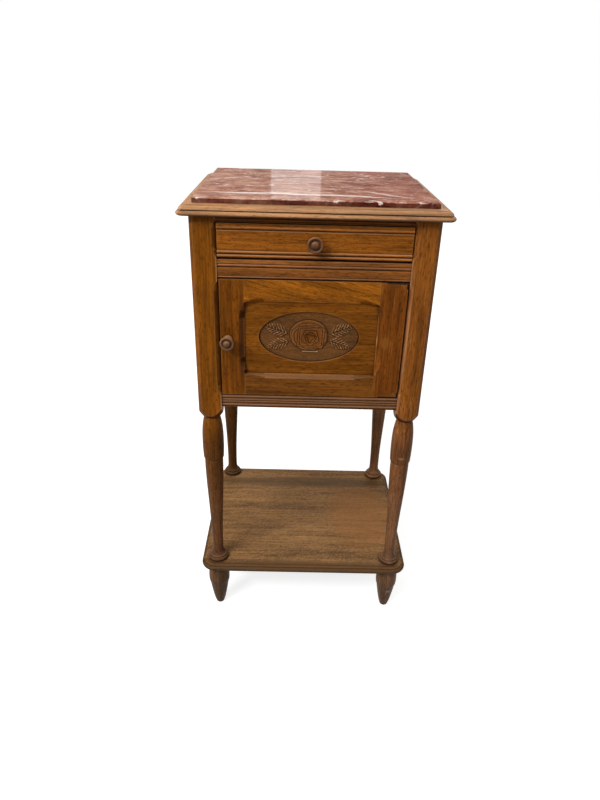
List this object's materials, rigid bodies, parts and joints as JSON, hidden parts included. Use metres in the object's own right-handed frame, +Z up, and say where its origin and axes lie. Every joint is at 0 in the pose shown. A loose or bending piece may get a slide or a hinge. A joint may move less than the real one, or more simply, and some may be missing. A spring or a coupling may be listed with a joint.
{
  "type": "bedside pot cupboard",
  "caption": "Marble-topped oak bedside pot cupboard on turned legs, with a dovetailed drawer, a panelled door on pivots that opens to a small cupboard, and a low shelf.",
  "frame": {"origin": "on the floor under the centre of the overall box", "axes": "+Z up, -Y to the front, +X to the right for someone facing the front"},
  "size_m": [0.422, 0.369, 0.83],
  "materials": {
    "marble": "polished red-brown marble with pale veins, loose slab",
    "oak_top_frame": "waxed oak, rubbed pale on the mouldings",
    "oak_case": "waxed golden-brown oak",
    "oak_dark": "waxed darker oak",
    "oak_shelf": "worn oak with ray fleck, wax gone dull",
    "oak_inside": "unfinished oak of inner and back pieces",
    "knob_wood": "turned hardwood, dull brown",
    "latch_brass": "tarnished brass",
    "pivot_steel": "dull steel"
  },
  "bodies": {
    "case": {"marble_slab": "marble", "top_rail_front": "oak_top_frame", "top_rail_left": "oak_top_frame", "top_rail_right": "oak_top_frame", "top_rail_back": "oak_top_frame", "post_front_left": "oak_case", "post_front_right": "oak_case", "side_top_rail_left": "oak_case", "side_top_rail_right": "oak_case", "side_bottom_rail_left": "oak_case", "side_bottom_rail_right": "oak_case", "side_panel_left": "oak_case", "side_panel_right": "oak_case", "post_back_left": "oak_dark", "post_back_right": "oak_dark", "foot_front_left": "oak_dark", "foot_front_right": "oak_dark", "foot_back_left": "oak_dark", "foot_back_right": "oak_dark", "upper_front_rail": "oak_dark", "middle_front_rail": "oak_dark", "bottom_front_rail": "oak_dark", "shelf": "oak_shelf", "back_top_rail": "oak_inside", "back_middle_rail": "oak_inside", "back_bottom_rail": "oak_inside", "back_panel": "oak_inside", "cupboard_floor": "oak_inside", "dust_board": "oak_inside", "drawer_runner_left": "oak_inside", "drawer_runner_right": "oak_inside", "drawer_kicker_left": "oak_inside", "drawer_kicker_right": "oak_inside", "drawer_stops": "oak_inside", "door_stop_strip": "oak_inside", "case_pivots": "pivot_steel"},
    "drawer": {"drawer_front": "oak_case", "drawer_side_left": "oak_inside", "drawer_side_right": "oak_inside", "drawer_back": "oak_inside", "drawer_bottom": "oak_inside", "drawer_knob": "knob_wood"},
    "door": {"door_knob_stile": "oak_case", "door_pivot_stile": "oak_case", "door_top_rail": "oak_case", "door_bottom_rail": "oak_case", "door_panel": "oak_case", "door_pivots": "pivot_steel"},
    "door_latch": {"door_knob": "knob_wood", "door_spindle": "latch_brass", "latch_tongue": "latch_brass"}
  },
  "joints": [
    {"name": "drawer_slide", "type": "slide", "parent": "case", "child": "drawer", "axis": [0, -1, 0], "range_m": [0, 0.22]},
    {"name": "door_hinge", "type": "hinge", "parent": "case", "child": "door", "pos_m": [0.1442, -0.1565, 0.60535], "axis": [0, 0, 1], "range_deg": [0, 110]},
    {"name": "latch_turn", "type": "hinge", "parent": "door", "child": "door_latch", "pos_m": [-0.1387, -0.161, 0.60435], "axis": [0, 1, 0], "range_deg": [0, 90]}
  ]
}
